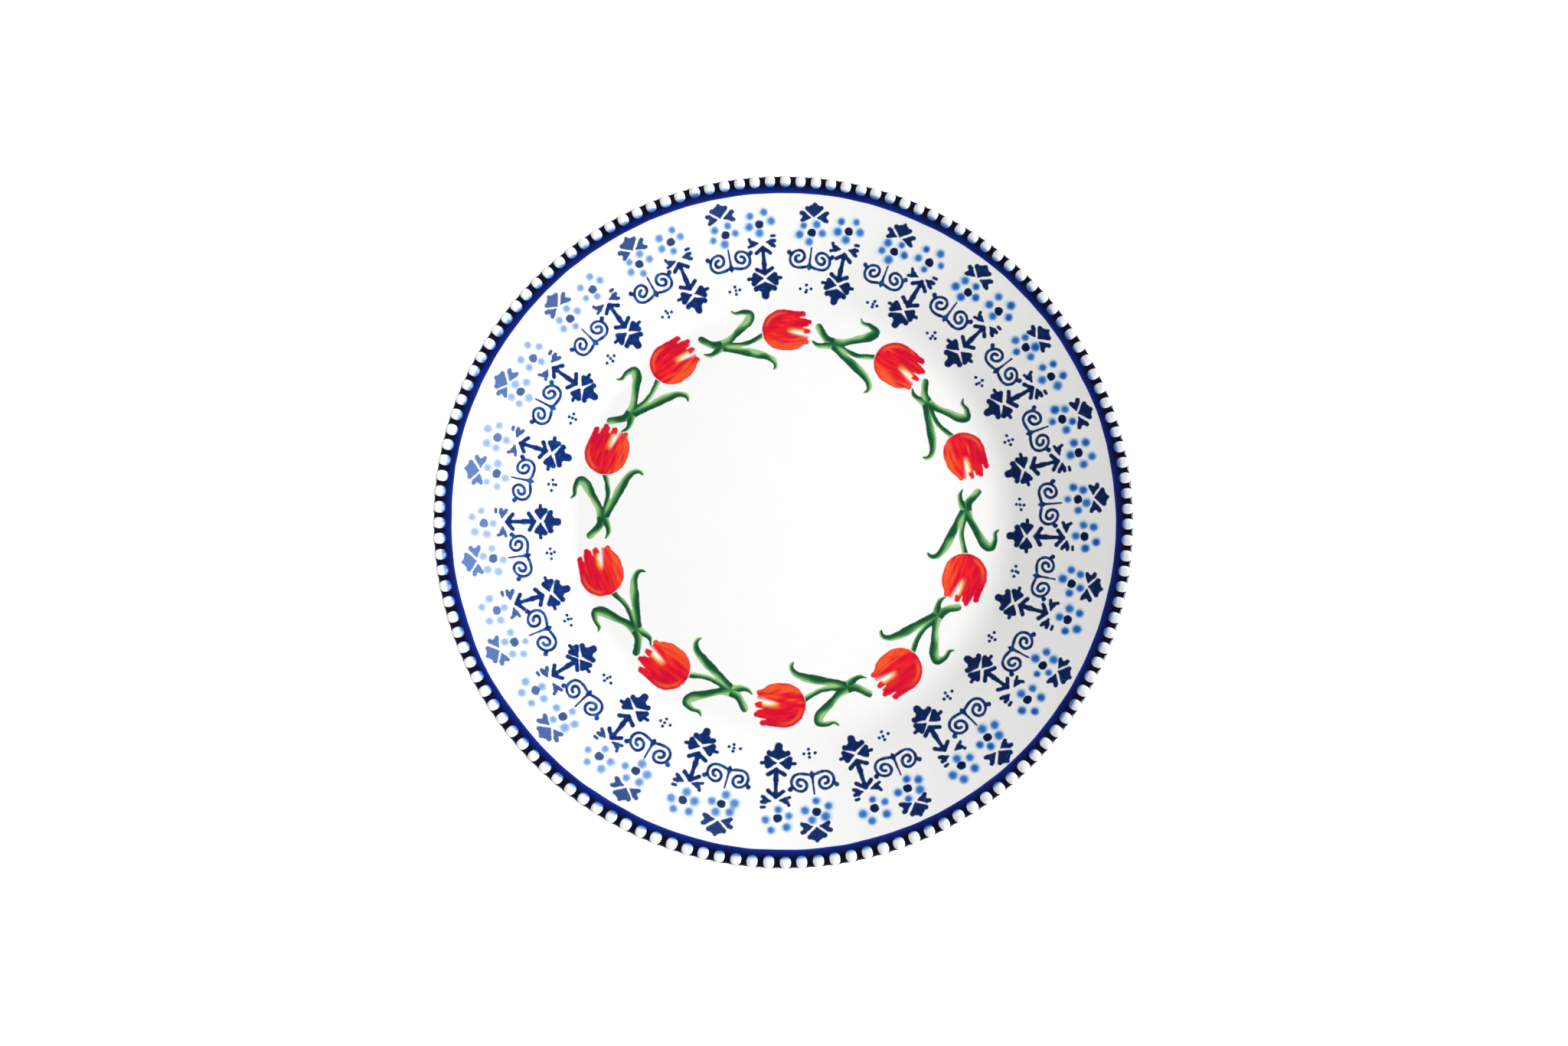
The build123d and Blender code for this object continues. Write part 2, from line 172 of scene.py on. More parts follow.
def sway(x, y):
    """The slight unevenness of a thrown and fired plate."""
    r = np.hypot(x, y) / R
    t = np.arctan2(y, x)
    oval = 0.06 * r ** 3 * np.sin(2 * t + 0.6)
    three_sided = 0.03 * r ** 2 * np.sin(3 * t + 2.1)
    return oval + three_sided + 0.02 * np.sin(x / 31 + y / 43)


def face_height(x, y):
    """Height of the glazed face above the table."""
    r = np.hypot(x, y)
    return np.interp(r, FACE[:, 0], FACE[:, 1]) + sway(x, y)


# ------------------------------------------------------------------ meshes
def make_mesh(name, verts, tris, colours=None):
    """A mesh from arrays in millimetres. colours are linear RGB, one per vertex."""
    me = bpy.data.meshes.new(name)
    width = tris.shape[1]
    me.vertices.add(len(verts))
    me.vertices.foreach_set("co", (np.asarray(verts, np.float32) * MM).ravel())
    me.loops.add(tris.size)
    me.loops.foreach_set("vertex_index", tris.astype(np.int32).ravel())
    me.polygons.add(len(tris))
    me.polygons.foreach_set("loop_start", np.arange(0, tris.size, width, dtype=np.int32))
    me.polygons.foreach_set("use_smooth", np.ones(len(tris), bool))
    me.update(calc_edges=True)
    me.validate()
    if colours is not None:
        layer = me.color_attributes.new("paint", "FLOAT_COLOR", "POINT")
        layer.data.foreach_set("color", np.c_[colours, np.ones(len(colours))].astype(np.float32).ravel())
    plan = me.uv_layers.new(name="OFBake")
    where = np.asarray(verts, float)[tris.ravel(), :2] / (2 * R) + 0.5
    plan.data.foreach_set("uv", (0.002 + where * 0.996).astype(np.float32).ravel())
    ob = bpy.data.objects.new(name, me)
    bpy.context.scene.collection.objects.link(ob)
    return ob


def lathe(line, segments):
    """Vertices and quads of a section line turned about Z."""
    t = 2 * math.pi * np.arange(segments) / segments
    rings = len(line)
    x = line[:, 0, None] * np.cos(t)
    y = line[:, 0, None] * np.sin(t)
    z = np.repeat(line[:, 1, None], segments, 1)
    verts = np.stack([x, y, z], -1).reshape(-1, 3)
    i, j = np.meshgrid(np.arange(rings - 1), np.arange(segments), indexing="ij")
    k = (j + 1) % segments
    quads = np.stack([i * segments + j, i * segments + k, (i + 1) * segments + k, (i + 1) * segments + j], -1)
    return verts, quads.reshape(-1, 4)


def linear(r, g, b):
    """Linear colour from 8 bit screen values."""
    c = np.array([r, g, b], float) / 255
    return np.where(c <= 0.04045, c / 12.92, ((c + 0.055) / 1.055) ** 2.4)


def ripple(x, y, size, seed, waves=7):
    """A smooth random field of about -1 to 1, with features of that size in millimetres."""
    rng = np.random.default_rng(seed)
    total = 0
    for _ in range(waves):
        a, phase, scale = rng.uniform(0, 2 * math.pi), rng.uniform(0, 2 * math.pi), rng.uniform(0.7, 1.6)
        total = total + np.sin((x * math.cos(a) + y * math.sin(a)) * 2 * math.pi / (size * scale) + phase)
    return total / math.sqrt(waves) / 1.3


def ramp(t, a, b):
    """0 before a, 1 after b, and smooth between."""
    t = np.clip((t - a) / (b - a), 0, 1)
    return t * t * (3 - 2 * t)


def mix(a, b, t):
    """Colour a where t is 0, b where it is 1."""
    t = np.asarray(t)[..., None] if np.ndim(t) else t
    return a * (1 - t) + b * t


# ------------------------------------------------------------------ brush drawings
def strokes(*marks):
    """Straight tapered strokes through (x, y, radius) marks."""
    return [(*a, *b) for a, b in zip(marks, marks[1:])]


def curve(*marks, pieces=6):
    """A smooth tapered stroke through (x, y, radius) marks."""
    p = np.array([marks[0], *marks, marks[-1]], float)
    out = []
    for i in range(1, len(p) - 2):
        for k in range(pieces):
            t = k / pieces
            out.append(0.5 * (2 * p[i] + (p[i + 1] - p[i - 1]) * t
                              + (2 * p[i - 1] - 5 * p[i] + 4 * p[i + 1] - p[i + 2]) * t * t
                              + (3 * p[i] - p[i - 1] - 3 * p[i + 1] + p[i + 2]) * t ** 3))
    out.append(p[-2])
    return [(*a, *b) for a, b in zip(out, out[1:])]


def body(*corners):
    """The filled body of a leaf or petal, for field()."""
    return [np.array(corners, float)]


def inside_body(x, y, corners):
    """Signed distance to a closed outline of straight sides, negative inside."""
    nearest = np.full(x.shape, 50.0)
    inside = np.zeros(x.shape, bool)
    for (ax, ay), (bx, by) in zip(corners, np.roll(corners, -1, axis=0)):
        dx, dy = bx - ax, by - ay
        t = np.clip(((x - ax) * dx + (y - ay) * dy) / (dx * dx + dy * dy), 0, 1)
        nearest = np.minimum(nearest, np.hypot(x - ax - t * dx, y - ay - t * dy))
        if dy != 0:
            inside ^= ((y >= ay) != (y >= by)) & (x < ax + (y - ay) * dx / dy)
    return np.where(inside, -nearest, nearest)


def field(x, y, lines, soft=0.25):
    """Signed distance to strokes and bodies, negative inside, and the place across the nearest stroke."""
    total = np.full(x.shape, 50.0)
    nearest = np.full(x.shape, 50.0)
    across = np.zeros(x.shape)
    for line in lines:
        if np.ndim(line) == 2:
            total = np.minimum(total, inside_body(x, y, line))
            continue
        ax, ay, ar, bx, by, br = line
        dx, dy = bx - ax, by - ay
        length = max(dx * dx + dy * dy, 1e-9)
        t = np.clip(((x - ax) * dx + (y - ay) * dy) / length, 0, 1)
        ox, oy = x - ax - t * dx, y - ay - t * dy
        radius = ar + (br - ar) * t
        d = np.hypot(ox, oy) - radius
        side = (dx * oy - dy * ox) / math.sqrt(length) / np.maximum(radius, 0.05)
        closer = d < nearest
        across = np.where(closer, side, across)
        nearest = np.where(closer, d, nearest)
        if soft > 0:
            h = np.clip(0.5 + 0.5 * (total - d) / soft, 0, 1)
            total = total * (1 - h) + d * h - soft * h * (1 - h)
        else:
            total = np.minimum(total, d)
    return total, across


def fill(low_x, low_y, high_x, high_y, step, distance):
    """Triangles of the region where distance(x, y) is negative."""
    nx, ny = int((high_x - low_x) / step) + 2, int((high_y - low_y) / step) + 2
    gx, gy = np.meshgrid(low_x + step * np.arange(nx), low_y + step * np.arange(ny))
    gx, gy = gx.ravel(), gy.ravel()
    f = distance(gx, gy)
    f = np.where(np.abs(f) < 0.08 * step, np.where(f < 0, -0.08, 0.08) * step, f)
    cell = (np.arange(ny - 1)[:, None] * nx + np.arange(nx - 1)).ravel()
    lower = np.stack([cell, cell + 1, cell + nx + 1], 1)
    upper = np.stack([cell, cell + nx + 1, cell + nx], 1)
    t = np.concatenate([lower, upper])
    inside = f[t] < 0
    n = inside.sum(1)
    whole = t[n == 3]
    one = t[n == 1]
    first = inside[n == 1].argmax(1)
    one = np.stack([one[np.arange(len(one)), (first + k) % 3] for k in range(3)], 1)
    two = t[n == 2]
    first = (~inside[n == 2]).argmax(1)
    two = np.stack([two[np.arange(len(two)), (first + k) % 3] for k in range(3)], 1)
    total = len(f)

    def cut(a, b):
        return np.minimum(a, b) * total + np.maximum(a, b) + total

    pieces = [whole,
              np.stack([one[:, 0], cut(one[:, 0], one[:, 1]), cut(one[:, 0], one[:, 2])], 1),
              np.stack([cut(two[:, 0], two[:, 1]), two[:, 1], two[:, 2]], 1),
              np.stack([cut(two[:, 0], two[:, 1]), two[:, 2], cut(two[:, 0], two[:, 2])], 1)]
    keys, tris = np.unique(np.concatenate(pieces), return_inverse=True)
    tris = tris.reshape(-1, 3)
    x, y = np.zeros(len(keys)), np.zeros(len(keys))
    plain = keys < total
    x[plain], y[plain] = gx[keys[plain]], gy[keys[plain]]
    a, b = (keys[~plain] - total) // total, (keys[~plain] - total) % total
    share = f[a] / (f[a] - f[b])
    x[~plain] = gx[a] + (gx[b] - gx[a]) * share
    y[~plain] = gy[a] + (gy[b] - gy[a]) * share
    return x, y, tris


class Coat:
    """Collects painted marks that lie on the glaze."""

    def __init__(self):
        self.verts, self.tris, self.colours, self.count = [], [], [], 0

    def put(self, x, y, tris, depth, colours, lift=0.035):
        """x and y are in the plate's plan. depth is the distance in from the mark's outline."""
        rise = lift * ramp(depth, 0, 0.6) + 0.012 * ramp(depth, 0, 0.12)
        self.verts.append(np.stack([x, y, face_height(x, y) + rise], 1))
        self.tris.append(tris + self.count)
        self.colours.append(colours)
        self.count += len(x)

    def piece(self, name):
        verts, tris, colours = (np.concatenate(rows) for rows in (self.verts, self.tris, self.colours))
        return make_mesh(name, verts, tris, colours)


WHITE = np.array([0.88, 0.88, 0.865])
PAINTED_SHEEN_BLUE = linear(118, 150, 208)  # pale blue of a painted reflection over the marks on the left
BLEED = 0.16  # how far the colour runs into the glaze past a mark's outline


def bleed(paint, d, soft=BLEED):
    """Colour with its soft edge: d is the signed distance, negative inside."""
    return mix(paint, WHITE, ramp(d, -soft, soft))


def on_flange(x, y, r0, turn0, swing, scale):
    """Plan place of a drawing's points: +y up the slope to the edge, +x clockwise."""
    c, s = math.cos(swing), math.sin(swing)
    u, v = (x * c - y * s) * scale, (x * s + y * c) * scale
    r = r0 + v * COS
    turn = turn0 - u / r
    return -r * np.sin(turn), r * np.cos(turn)


def navy(x, y, d, seed):
    """Brushed navy: a deep body with lighter washes and slightly brighter edges."""
    deep, wash, rim = linear(9, 36, 92), linear(26, 80, 150), linear(14, 62, 140)
    n = ripple(x, y, 3.2, seed) * 0.6 + ripple(x, y, 1.1, seed + 1) * 0.4
    c = mix(deep, wash, ramp(n, 0.15, 1.5) * 0.75)
    return mix(c, rim, ramp(d, -0.45, -0.05) * 0.55)


def hand_place(k, inset, share):
    """Radius and turn of a drawing's origin in the repeat k, as the hand set it."""
    turn = PATTERN_TURN + stray(STRAY_TURN, k / REPEATS) + 360 * (k + share) / REPEATS
    return BAND_R - inset + stray(STRAY_OUT, k / REPEATS) * COS, math.radians(turn)


def painted_light_side(turn):
    """Painted light across the plate: 0 on the left, where a painted reflection pales the marks, to 1 on the
    right, where painted shade darkens them.
    """
    return 0.5 - 0.5 * math.sin(turn)


def stamp(coat, lines, inset, share, box, seed, soft=0.3, step=0.24, colour=navy, wobble=0.07, loose=1.0,
          bold=0.0, painted_sheen=0.0):
    """One drawing, repeated round the border with a hand's small differences."""
    for k in range(REPEATS):
        rng = np.random.default_rng(1000 * seed + k)
        swing = math.radians(rng.normal(0, 1.3)) * loose
        scale = 1 + rng.normal(0, 0.015) * loose
        r0, turn0 = hand_place(k, inset, share)
        r0 += rng.normal(0, 0.22) * loose
        turn0 += rng.normal(0, 0.0022) * loose

        def distance(x, y, k=k):
            d, _ = field(x, y, lines, soft)
            return d + wobble * ripple(x, y, 2.6, 77 * seed + k) - bold - BLEED

        x, y, tris = fill(*box, step, distance)
        d = distance(x, y) + BLEED
        px, py = on_flange(x, y, r0, turn0, swing, scale)
        # Painted light: the marks are brightened on the left as a painted reflection and darkened on the right as
        # painted shade.
        paint = colour(x, y, d, 31 * seed + k) * (1.3 - 0.6 * painted_light_side(turn0))
        # Painted reflection: the marks on the left are paled towards a light blue.
        paint = mix(paint, PAINTED_SHEEN_BLUE, painted_sheen * (1 - painted_light_side(turn0)) ** 4)
        coat.put(px, py, tris, BLEED - d, bleed(paint, d))


# ------------------------------------------------------------------ materials
def ceramic(name, colour=None, rough=0.1, speck=0.03, dimple=0.05, scale=90.0):
    """Glazed or bare ceramic: colour from the painted attribute or a uniform one, broken up by fine noise."""
    m = bpy.data.materials.new(name)
    m.use_nodes = True
    nt = m.node_tree
    nt.nodes.clear()
    out = nt.nodes.new("ShaderNodeOutputMaterial")
    bsdf = nt.nodes.new("ShaderNodeBsdfPrincipled")
    nt.links.new(bsdf.outputs[0], out.inputs[0])
    place = nt.nodes.new("ShaderNodeTexCoord")
    noise = nt.nodes.new("ShaderNodeTexNoise")
    noise.inputs["Scale"].default_value = scale
    noise.inputs["Detail"].default_value = 4.0
    nt.links.new(place.outputs["Object"], noise.inputs["Vector"])
    tone = nt.nodes.new("ShaderNodeMapRange")
    tone.inputs["To Min"].default_value = 1 - speck
    tone.inputs["To Max"].default_value = 1 + speck
    nt.links.new(noise.outputs["Fac"], tone.inputs["Value"])
    scaled = nt.nodes.new("ShaderNodeVectorMath")
    scaled.operation = "SCALE"
    if colour is None:
        source = nt.nodes.new("ShaderNodeAttribute")
        source.attribute_name = "paint"
        nt.links.new(source.outputs["Color"], scaled.inputs[0])
    else:
        scaled.inputs[0].default_value = colour
    nt.links.new(tone.outputs["Result"], scaled.inputs["Scale"])
    nt.links.new(scaled.outputs["Vector"], bsdf.inputs["Base Color"])
    dull = nt.nodes.new("ShaderNodeMapRange")
    dull.inputs["To Min"].default_value = rough * 0.75
    dull.inputs["To Max"].default_value = rough * 1.3
    nt.links.new(noise.outputs["Fac"], dull.inputs["Value"])
    nt.links.new(dull.outputs["Result"], bsdf.inputs["Roughness"])
    bsdf.inputs["IOR"].default_value = 1.5
    if dimple > 0:
        skin = nt.nodes.new("ShaderNodeTexNoise")
        skin.inputs["Scale"].default_value = 260.0
        skin.inputs["Detail"].default_value = 2.0
        nt.links.new(place.outputs["Object"], skin.inputs["Vector"])
        bump = nt.nodes.new("ShaderNodeBump")
        bump.inputs["Strength"].default_value = dimple
        bump.inputs["Distance"].default_value = 0.0004
        nt.links.new(skin.outputs["Fac"], bump.inputs["Height"])
        nt.links.new(bump.outputs["Normal"], bsdf.inputs["Normal"])
    return m


def finish_piece(ob, material, slot, *nodes):
    ob.data.materials.append(material)
    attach(ob, "root")
    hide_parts(*nodes)


glaze_material = ceramic("white_glaze", tuple(WHITE), rough=0.1, speck=0.012)
paint_material = ceramic("painted_glaze", None, rough=0.1, speck=0.05)
pearl_material = ceramic("pearl_glaze", None, rough=0.09, speck=0.02)
biscuit_material = ceramic("biscuit", (0.62, 0.53, 0.42), rough=0.75, speck=0.16, dimple=0.5, scale=420.0)

# ------------------------------------------------------------------ glazed plate
outer = coated(GLAZE, 1.25)
past_foot = (outer[:, 0] > (FOOT_IN + FOOT_OUT) / 2) & (outer[:, 1] >= STOP)
skin = outer[int(np.argmax(past_foot)):]
stop_r = skin[0, 0]
hem = [(stop_r - GLAZE * 0.95, STOP + 0.02), (stop_r - GLAZE * 0.4, STOP - 0.12), (stop_r - 0.04, STOP)]
skin = np.concatenate([np.array(hem), skin])
PLATE_SEGMENTS, WELL_SEGMENTS = 480, 360
verts, quads = lathe(skin, PLATE_SEGMENTS)
ring_index = np.arange(len(verts)) // PLATE_SEGMENTS
verts[:, 2] += np.where(ring_index > len(hem) + 6, sway(verts[:, 0], verts[:, 1]), 0)
plate = make_mesh("glazed_plate", verts, quads)
finish_piece(plate, glaze_material, "white_glaze", "glaze_coat")

WELL_EDGE = FOOT_IN - FLARE
turned_down = (outer[:, 0] > WELL_EDGE - 1) & (outer[:, 1] < FOOT_H - GLAZE - 0.02)
under = outer[:int(np.argmax(turned_down)) + 4]
under = under[(under[:, 1] > STOP) | (under[:, 0] < WELL_EDGE)]
hem = [(FOOT_IN - 0.62, STOP + 0.05), (FOOT_IN - 0.4, STOP - 0.05), (FOOT_IN - 0.15, STOP + 0.05)]
under = np.concatenate([under, hem])
verts, quads = lathe(under, WELL_SEGMENTS)
radius = np.hypot(verts[:, 0], verts[:, 1])
GROOVE, GROOVE_PITCH = 0.02, 5.2  # height and spacing of the turning marks under the floor
grooves = GROOVE * np.sin(radius * 2 * math.pi / GROOVE_PITCH)
verts[:, 2] += grooves * ramp(radius, 2, 12) * (1 - ramp(radius, 60, 68))
well = make_mesh("foot_well", verts, quads)
finish_piece(well, glaze_material, "white_glaze", "foot_well_glaze")

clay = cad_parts["clay_body"]
clay.data.materials.clear()
clay.data.materials.append(biscuit_material)

# ------------------------------------------------------------------ cobalt edge
BAND_STEP = 0.3
ring = coated(GLAZE + BAND_FILM, BAND_STEP)
top = int(np.argmax(ring[:, 1]))
start = int(np.argmax((ring[:, 0] > LIP_R) & (ring[:, 1] > BAND_FOOT)))
end = top + int(np.argmax(ring[top:, 0] < BAND_R))
edge = ring[start:end][::-1]
along = np.r_[0, np.cumsum(np.linalg.norm(np.diff(edge, axis=0), axis=1))]
even = np.arange(0, along[-1], BAND_STEP)
edge = np.stack([np.interp(even, along, edge[:, 0]), np.interp(even, along, edge[:, 1])], 1)
tangent = np.gradient(edge, axis=0)
tangent /= np.linalg.norm(tangent, axis=1)[:, None]
normal = np.stack([-tangent[:, 1], tangent[:, 0]], 1)
SEG = PEARLS * 14
t = 2 * math.pi * np.arange(SEG) / SEG
round_x, round_y = np.cos(t) * R, np.sin(t) * R
from_inner = np.repeat(even[:, None], SEG, 1)  # distance over the surface from the band's inner edge
scallop = 0.5 + 0.5 * np.cos(t * PEARLS)
swell = ramp(from_inner, 2.8, 4.2) * (1 - ramp(from_inner, 7.2, 8.6))
raise_by = 0.55 * swell * scallop ** 1.5
rr = np.minimum(edge[:, 0, None] + normal[:, 0, None] * raise_by, R - 0.03)
zz = edge[:, 1, None] + normal[:, 1, None] * raise_by
hand = 0.16 * ripple(round_x, round_y, 40, 5) + 0.07 * ripple(round_x, round_y, 9, 6)
shift = hand * (1 - ramp(from_inner, 0, 2.0))
rr = rr + shift * COS
zz = zz + shift * SIN
zz = zz - 0.09 * (1 - ramp(from_inner, 0.0, 0.5))
x, y = rr * np.cos(t), rr * np.sin(t)
verts = np.stack([x, y, zz + sway(x, y)], -1).reshape(-1, 3)
i, j = np.meshgrid(np.arange(len(edge) - 1), np.arange(SEG), indexing="ij")
k = (j + 1) % SEG
quads = np.stack([i * SEG + j, (i + 1) * SEG + j, (i + 1) * SEG + k, i * SEG + k], -1).reshape(-1, 4)
bright, cobalt, dark = linear(12, 42, 146), linear(8, 26, 100), linear(4, 9, 36)
blue = mix(bright, cobalt, ramp(from_inner, 0.3, 1.5))
blue = mix(blue, dark, ramp(from_inner, 1.5, 3.4))
patch = ripple(round_x, round_y, 14, 9) * 0.5 + 0.5
blue = blue * (0.85 + 0.3 * np.clip(patch, 0, 1))[:, None]
blue = mix(WHITE, blue, ramp(from_inner, -0.1, 0.35))
foot_fade = ramp(from_inner + 0.3 * ripple(round_x, round_y, 7, 12), even[-1] - 1.2, even[-1] - 0.1)
blue = mix(blue, WHITE, foot_fade * 0.6)
band = make_mesh("cobalt_edge", verts, quads, blue.reshape(-1, 3))
finish_piece(band, paint_material, "cobalt", "cobalt_band")

# ------------------------------------------------------------------ pearls
AROUND, UP = 26, 11
PEARL_SET = R - 2.25  # where a pearl's middle lies
SQUARENESS = 0.86
a = 2 * math.pi * np.arange(AROUND) / AROUND
b = np.linspace(-0.30, 1.0, UP) * math.pi / 2
bump_u = np.cos(b)[:, None] * np.cos(a)
bump_v = np.cos(b)[:, None] * np.sin(a)
bump_h = np.repeat(np.sin(b)[:, None], AROUND, 1)
bump_u = np.sign(bump_u) * np.abs(bump_u) ** SQUARENESS
bump_v = np.sign(bump_v) * np.abs(bump_v) ** SQUARENESS
i, j = np.meshgrid(np.arange(UP - 1), np.arange(AROUND), indexing="ij")
k = (j + 1) % AROUND
pearl_quads = np.stack([i * AROUND + j, i * AROUND + k, (i + 1) * AROUND + k, (i + 1) * AROUND + j], -1)
pearl_white, azure, deep = np.array([0.88, 0.89, 0.89]), linear(44, 120, 210), linear(8, 30, 110)


def pearl(n):
    """Points and colours of the pearl n: u runs round the plate, v up the slope and h out of it."""
    rng = np.random.default_rng(40 + n)
    turn = 2 * math.pi * n / PEARLS
    wide, tall, high_by = 2.12 + rng.normal(0, 0.06), 2.35 + rng.normal(0, 0.06), 0.98 + rng.normal(0, 0.02)
    middle_r = PEARL_SET + rng.normal(0, 0.04)
    base_z = RIM + (middle_r - LIP_R) * math.tan(SLOPE) + (GLAZE + BAND_FILM) / COS
    v = bump_v * tall
    h = bump_h * high_by
    r = np.minimum(middle_r + v * COS - h * SIN, R - 0.02)
    z = base_z + v * SIN + h * COS
    side = bump_u * wide + rng.normal(0, 0.05)
    px = r * math.cos(turn) - side * math.sin(turn)
    py = r * math.sin(turn) + side * math.cos(turn)
    over = np.maximum(np.hypot(px, py) / (R - 0.01), 1)
    px, py = px / over, py / over
    inner = -bump_v + 0.12 * rng.normal()
    tint = mix(pearl_white, azure, np.clip(ramp(inner, 0.1, 0.95) * 1.4, 0, 1))
    tint = mix(tint, deep, ramp(inner, 0.72, 1.05))
    tint = mix(tint, deep * 0.7, 1 - ramp(bump_h, 0.02, 0.30))
    return np.stack([px, py, z + sway(px, py)], -1).reshape(-1, 3), tint.reshape(-1, 3)


points, tints = zip(*[pearl(n) for n in range(PEARLS)])
quads = np.concatenate([pearl_quads.reshape(-1, 4) + n * AROUND * UP for n in range(PEARLS)])
pearls = make_mesh("pearl_beads", np.concatenate(points), quads, np.concatenate(tints))
finish_piece(pearls, pearl_material, "white_slip", "rim_pearls")

# ------------------------------------------------------------------ border marks
coat = Coat()
trefoil = (body((0.0, 0.3), (-3.3, 3.3), (-1.5, 4.5), (0.0, 5.3), (1.6, 4.7), (3.3, 3.6))
           + strokes((0.0, 0.3, 0.2), (2.8, 3.7, 0.8)) + strokes((0.0, 0.3, 0.2), (-2.9, 3.3, 0.85))
           + strokes((0.0, 1.6, 0.9), (0.1, 5.0, 0.7))
           + body((1.6, -0.3), (4.4, 2.4), (5.6, 1.9), (4.9, 0.4), (5.7, -1.0), (4.4, -1.8))
           + strokes((1.6, -0.3, 0.2), (5.3, 1.9, 0.7)) + strokes((1.6, -0.3, 0.2), (5.3, -1.2, 0.7))
           + body((-1.5, -0.3), (-4.0, 2.1), (-5.3, 1.6), (-4.5, 0.1), (-5.0, -1.2), (-3.8, -1.8))
           + strokes((-1.5, -0.3, 0.2), (-5.1, 1.5, 0.75)) + strokes((-1.5, -0.3, 0.2), (-4.6, -1.4, 0.7)))
stamp(coat, trefoil, TREFOIL_IN, SIDE_SHARE, (-7.4, -3, 7.6, 7.0), 1, bold=0.15, painted_sheen=0.6)
finish_piece(coat.piece("trefoil_marks"), paint_material, "navy", "trefoils")

coat = Coat()


def eye_paint(x, y, d, seed):
    c = mix(linear(6, 22, 66), linear(16, 56, 124), ramp(d, -0.8, 0.1))
    return c * (1 + 0.2 * ripple(x, y, 1.5, seed))[:, None]


eye = strokes((-0.1, 0.0, 1.7), (0.15, 0.0, 1.7))
stamp(coat, eye, FIRST_EYE_IN, EYE_SHARE, (-2.6, -2.6, 2.6, 2.6), 2, colour=eye_paint, wobble=0.1, painted_sheen=0.6)
stamp(coat, eye, SECOND_EYE_IN, SIDE_SHARE, (-2.6, -2.6, 2.6, 2.6), 3, colour=eye_paint, wobble=0.1, painted_sheen=0.4)
finish_piece(coat.piece("dot_flower_eye_marks"), paint_material, "navy", "dot_flower_eyes")

coat = Coat()
FIRST_DOTS = [(2.5, 4.7), (-3.4, 3.7), (4.9, 1.0), (-4.2, -0.6), (0.0, -3.2)]
SECOND_DOTS = [(1.7, 3.4), (-3.6, 2.6), (4.2, 0.0), (-4.9, -1.2), (-0.8, -3.7)]
core, halo, full = linear(44, 124, 204), linear(140, 196, 236), linear(22, 78, 168)
DOT_RINGS = [(FIRST_DOTS, FIRST_EYE_IN, EYE_SHARE), (SECOND_DOTS, SECOND_EYE_IN, SIDE_SHARE)]
for ring, (dots, inset, share) in enumerate(DOT_RINGS):
    for k in range(REPEATS):
        for n, (dx, dy) in enumerate(dots):
            rng = np.random.default_rng(9000 + 500 * ring + 20 * k + n)
            sx, sy = dx + rng.normal(0, 0.14), dy + rng.normal(0, 0.14)
            size, slip = 1.65 * (1 + rng.normal(0, 0.07)), 0.6 + rng.normal(0, 0.2)
            wide = size * 1.7
            r0, turn0 = hand_place(k, inset, share)
            # Painted light across the plate: 0 on the left under a painted reflection, 1 on the right in painted
            # shade.
            sheen_to_shade = painted_light_side(turn0)

            def distance(x, y, slip=slip, wide=wide, seed=9 * k + n):
                d = np.hypot(x + slip * 0.5, y * 1.02) - wide
                return d + 0.12 * ripple(x, y, 3.5, seed)

            x, y, tris = fill(-4, -4, 4, 4, 0.34, distance)
            d = distance(x, y)
            centre = np.hypot(x, y)
            strong = 1 - ramp(centre + 0.1 * ripple(x, y, 1.4, 60 + k), size * 0.45, size * 1.25)
            pale = (1 - ramp(d, -wide * 0.75, -0.02)) * (0.75 + 0.2 * ripple(x, y, 1.3, 400 + k))
            c = mix(WHITE, halo, np.clip(pale, 0, 1))
            c = mix(c, core, strong)
            # The dot's deeper core is its own paint, made stronger on the right as painted shade.
            deeper = 1 - ramp(centre, size * 0.3 * sheen_to_shade, size * (0.8 + 0.5 * sheen_to_shade))
            c = mix(c, full, deeper * rng.uniform(0.2, 0.5 + 0.5 * sheen_to_shade))
            # Painted reflection: dots on the left are paled towards white.
            c = mix(c, WHITE, 0.35 * (1 - sheen_to_shade) ** 3)
            px, py = on_flange(x + sx, y + sy, r0, turn0, 0, 1)
            coat.put(px, py, tris, -d, c, lift=0.02)
finish_piece(coat.piece("sponged_dots"), paint_material, "azure", "dot_flower_petals")

coat = Coat()
heart = (body((1.7, 0.4), (3.6, 1.6), (5.1, 1.2), (4.4, 0.0), (5.0, -1.3), (3.7, -1.5))
         + strokes((1.7, 0.4, 0.2), (4.9, 0.9, 0.6)) + strokes((1.7, 0.4, 0.2), (4.7, -1.2, 0.6))
         + strokes((5.0, 2.9, 0.5), (3.8, 2.8, 0.45))
         + body((-2.0, 0.1), (-3.8, 1.2), (-5.2, 1.4), (-4.6, 0.0), (-5.5, -1.1), (-3.9, -1.2))
         + strokes((-2.0, 0.1, 0.2), (-4.7, 0.5, 0.5), (-5.4, 1.9, 0.5))
         + strokes((-2.0, 0.1, 0.2), (-5.6, -1.1, 0.5)))
stamp(coat, heart, HEART_IN, 0.0, (-7.4, -2.8, 6.8, 4.6), 4, bold=0.18, painted_sheen=0.3)
finish_piece(coat.piece("heart_marks"), paint_material, "navy", "hearts")

coat = Coat()
arrow = (body((0.0, 13.5), (1.7, 11.9), (0.0, 10.7), (-1.7, 12.0))
         + strokes((0.0, 13.2, 0.65), (2.9, 10.8, 0.8))
         + strokes((0.0, 13.2, 0.65), (-2.9, 11.0, 0.75))
         + strokes((0.0, 13.0, 0.8), (0.0, 9.6, 0.65), (0.0, 6.4, 1.0), (0.0, 2.4, 0.8))
         + body((0.0, 1.9), (1.9, 3.5), (0.0, 4.9), (-1.9, 3.5))
         + strokes((0.0, 2.4, 0.7), (3.2, 4.5, 0.8)) + strokes((0.0, 2.4, 0.7), (-3.3, 4.4, 0.8)))
stamp(coat, arrow, CROSS_IN, 0.0, (-5.0, 0.6, 5.0, 15.2), 5, bold=0.1)
finish_piece(coat.piece("arrow_marks"), paint_material, "navy", "arrows")

